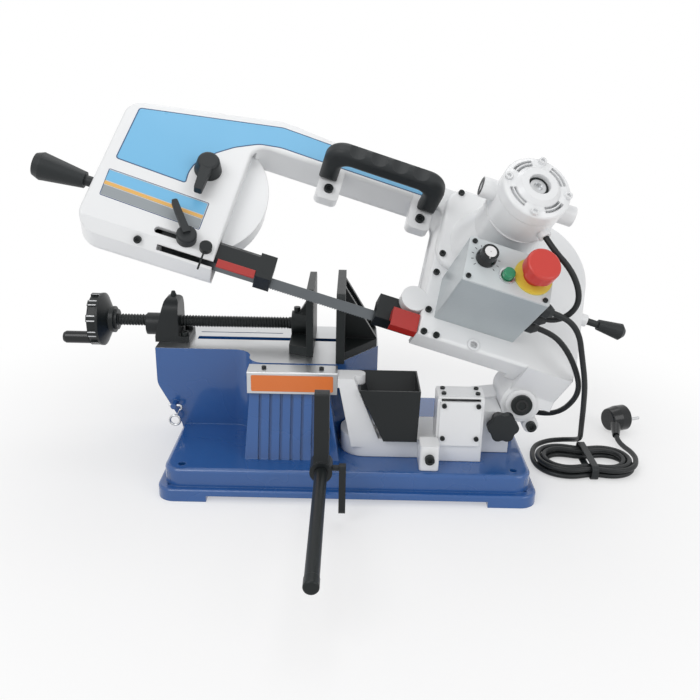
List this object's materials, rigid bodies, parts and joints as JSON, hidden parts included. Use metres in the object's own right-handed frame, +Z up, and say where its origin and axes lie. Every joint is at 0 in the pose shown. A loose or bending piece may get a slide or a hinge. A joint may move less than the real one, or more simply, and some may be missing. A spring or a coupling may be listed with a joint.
{
  "type": "metal-cutting band saw",
  "caption": "Bench-standing metal-cutting band saw: leaning bow head on a swivel arm and tilt pivot, cast base with bed and screw vise, motor with control box, bar stop and mains lead.",
  "frame": {"origin": "centre of the four bench-bolt holes, on the plane of the feet", "axes": "+X to the right along the blade, +Y away from the operator, +Z up"},
  "size_m": [0.831, 0.5217, 0.458],
  "materials": {
    "blue_enamel": "glossy deep blue enamel",
    "white_enamel": "satin white enamel",
    "hammered_grey": "hammered grey enamel",
    "red_enamel": "glossy red enamel",
    "black_enamel": "semi-gloss black enamel",
    "blackened_iron": "blackened machined casting",
    "bright_steel": "ground bright steel",
    "blade_steel": "grey spring steel",
    "panel_print": "pale panel sheet",
    "black_plastic": "matte black plastic",
    "gloss_black": "glossy black plastic",
    "red_plastic": "glossy red plastic",
    "green_plastic": "glossy green plastic",
    "yellow_plastic": "yellow plastic",
    "cord_rubber": "matte black rubber"
  },
  "bodies": {
    "base": {"base_casting": "blue_enamel", "swivel_pin": "bright_steel", "vise_nut_bracket": "black_enamel", "vise_bolts": "blackened_iron", "fixed_jaw": "blackened_iron", "mains_hank": "cord_rubber", "hank_tie": "black_plastic", "mains_plug": "gloss_black", "plug_pins": "bright_steel"},
    "hook": {"hook_clip": "bright_steel"},
    "vise_jaw": {"moving_jaw": "blackened_iron"},
    "vise_spindle": {"vise_screw": "blackened_iron", "handwheel": "black_enamel"},
    "crank": {"crank_handle": "gloss_black"},
    "stop_bar": {"stop_rod": "blackened_iron"},
    "stop_finger": {"stop_arm": "black_enamel"},
    "stop_clamp": {"stop_clamp_lever": "black_enamel"},
    "swivel_base": {"swivel_arm": "white_enamel", "front_rest_plate": "bright_steel", "switch_box_cover": "white_enamel", "switch_box_lid": "white_enamel", "arm_screws": "blackened_iron", "chip_box": "black_enamel", "pivot_shaft": "blackened_iron"},
    "head_lock": {"head_lock_knob": "black_plastic"},
    "head": {"bow_frame": "white_enamel", "blade_cover": "white_enamel", "bow_screws": "blackened_iron", "carry_handle": "black_plastic", "gear_case": "white_enamel", "motor_screws": "blackened_iron", "motor_housing": "white_enamel", "brush_caps": "black_plastic", "motor_end_bell": "hammered_grey", "control_box": "hammered_grey", "control_panel": "panel_print", "emergency_stop_ring": "yellow_plastic", "cable_glands": "black_plastic", "motor_cable": "cord_rubber", "saw_blade": "blade_steel", "right_guide": "black_enamel", "right_blade_guard": "red_enamel", "drive_axle": "bright_steel", "gauge_finger": "blackened_iron", "mains_lead": "cord_rubber", "switch_cable": "cord_rubber"},
    "tension_slide_block": {"idler_carriage": "blackened_iron"},
    "idler": {"idler_wheel": "blackened_iron"},
    "tension_screw": {"tension_knob": "black_plastic"},
    "tension_lock": {"tension_lock_lever": "black_plastic"},
    "drive": {"drive_wheel": "blackened_iron"},
    "rotor": {"motor_rotor": "bright_steel"},
    "left_guide": {"left_guide_arm": "black_enamel", "left_blade_guard": "red_enamel"},
    "guide_clamp": {"guide_clamp_lever": "black_plastic"},
    "speed_control": {"speed_knob": "gloss_black"},
    "start_control": {"start_button": "green_plastic"},
    "stop_control": {"emergency_stop": "red_plastic"},
    "feed_screw": {"feed_screw_knob": "black_plastic"}
  },
  "joints": [
    {"name": "arm_swivel", "type": "hinge", "parent": "base", "child": "swivel_base", "pos_m": [0.022, -0.04, 0.0405], "axis": [0, 0, 1], "range_deg": [0, 45], "deforming": ["mains_lead"]},
    {"name": "head_tilt", "type": "hinge", "parent": "swivel_base", "child": "head", "pos_m": [0.22, 0, 0.105], "axis": [0, 1, 0], "range_deg": [-17, 20], "deforming": ["switch_cable"]},
    {"name": "head_lock_turn", "type": "hinge", "parent": "swivel_base", "child": "head_lock", "pos_m": [0.195, -0.058, 0.082], "axis": [0, 1, 0], "range_deg": [-90, 90]},
    {"name": "vise_slide", "type": "slide", "parent": "base", "child": "vise_jaw", "axis": [1, 0, 0], "range_m": [-0.1, 0.0295]},
    {"name": "vise_screw_turn", "type": "hinge", "parent": "vise_jaw", "child": "vise_spindle", "pos_m": [-0.2, 0.055, 0.174], "axis": [1, 0, 0], "continuous": true},
    {"name": "crank_spin", "type": "hinge", "parent": "vise_spindle", "child": "crank", "pos_m": [-0.375, 0.055, 0.147], "axis": [1, 0, 0], "continuous": true},
    {"name": "stop_bar_slide", "type": "slide", "parent": "base", "child": "stop_bar", "axis": [0, 1, 0], "range_m": [-0.04, 0]},
    {"name": "stop_finger_slide", "type": "slide", "parent": "stop_bar", "child": "stop_finger", "axis": [0, 1, 0], "range_m": [-0.18, 0.005]},
    {"name": "stop_clamp_turn", "type": "hinge", "parent": "stop_finger", "child": "stop_clamp", "pos_m": [-0.01, -0.172, 0.075], "axis": [1, 0, 0], "range_deg": [-60, 60]},
    {"name": "hook_swing", "type": "hinge", "parent": "base", "child": "hook", "pos_m": [-0.236, 0, 0.0715], "axis": [1, 0, 0], "range_deg": [-60, 8]},
    {"name": "tension_slide", "type": "slide", "parent": "head", "child": "tension_slide_block", "axis": [0.9563, 0, -0.2924], "range_m": [0, 0.004]},
    {"name": "tension_knob_turn", "type": "hinge", "parent": "head", "child": "tension_screw", "pos_m": [-0.31205, -0.01666, 0.36906], "axis": [0.9563, 0, -0.2924], "continuous": true},
    {"name": "tension_lock_turn", "type": "hinge", "parent": "tension_slide_block", "child": "tension_lock", "pos_m": [-0.18029, 0.01798, 0.38275], "axis": [0.2067, -0.7071, 0.6762], "range_deg": [-20, 60]},
    {"name": "idler_spin", "type": "hinge", "parent": "tension_slide_block", "child": "idler", "pos_m": [-0.20967, 0.02576, 0.35846], "axis": [0.2067, -0.7071, 0.6762], "continuous": true},
    {"name": "drive_spin", "type": "hinge", "parent": "head", "child": "drive", "pos_m": [0.19772, 0.02576, 0.23391], "axis": [0.2067, -0.7071, 0.6762], "continuous": true},
    {"name": "rotor_spin", "type": "hinge", "parent": "head", "child": "rotor", "pos_m": [0.18836, -0.00818, 0.31959], "axis": [0.2067, -0.7071, 0.6762], "continuous": true},
    {"name": "guide_slide", "type": "slide", "parent": "head", "child": "left_guide", "axis": [0.9563, 0, -0.2924], "range_m": [-0.034, 0]},
    {"name": "guide_clamp_turn", "type": "hinge", "parent": "left_guide", "child": "guide_clamp", "pos_m": [-0.19584, -0.05485, 0.31134], "axis": [0.2067, -0.7071, 0.6762], "range_deg": [-30, 50]},
    {"name": "speed_turn", "type": "hinge", "parent": "head", "child": "speed_control", "pos_m": [0.15072, -0.10152, 0.30595], "axis": [0.2067, -0.7071, 0.6762], "range_deg": [-135, 135]},
    {"name": "start_press", "type": "slide", "parent": "head", "child": "start_control", "axis": [-0.2067, 0.7071, -0.6762], "range_m": [0, 0.003], "stiffness_N_per_m": 400, "springref_m": -0.002},
    {"name": "stop_press", "type": "slide", "parent": "head", "child": "stop_control", "axis": [-0.2067, 0.7071, -0.6762], "range_m": [0, 0.006]},
    {"name": "feed_turn", "type": "hinge", "parent": "head", "child": "feed_screw", "pos_m": [0.29642, 0.00384, 0.20447], "axis": [0.9563, 0, -0.2924], "continuous": true}
  ],
  "couplings": [
    {"joint": "vise_screw_turn", "follows": "vise_slide", "rad_per_m": 1570.8},
    {"joint": "tension_knob_turn", "follows": "tension_slide", "rad_per_m": 4188.8},
    {"joint": "rotor_spin", "follows": "drive_spin", "ratio": -3.4615},
    {"joint": "idler_spin", "follows": "drive_spin", "ratio": 1}
  ]
}
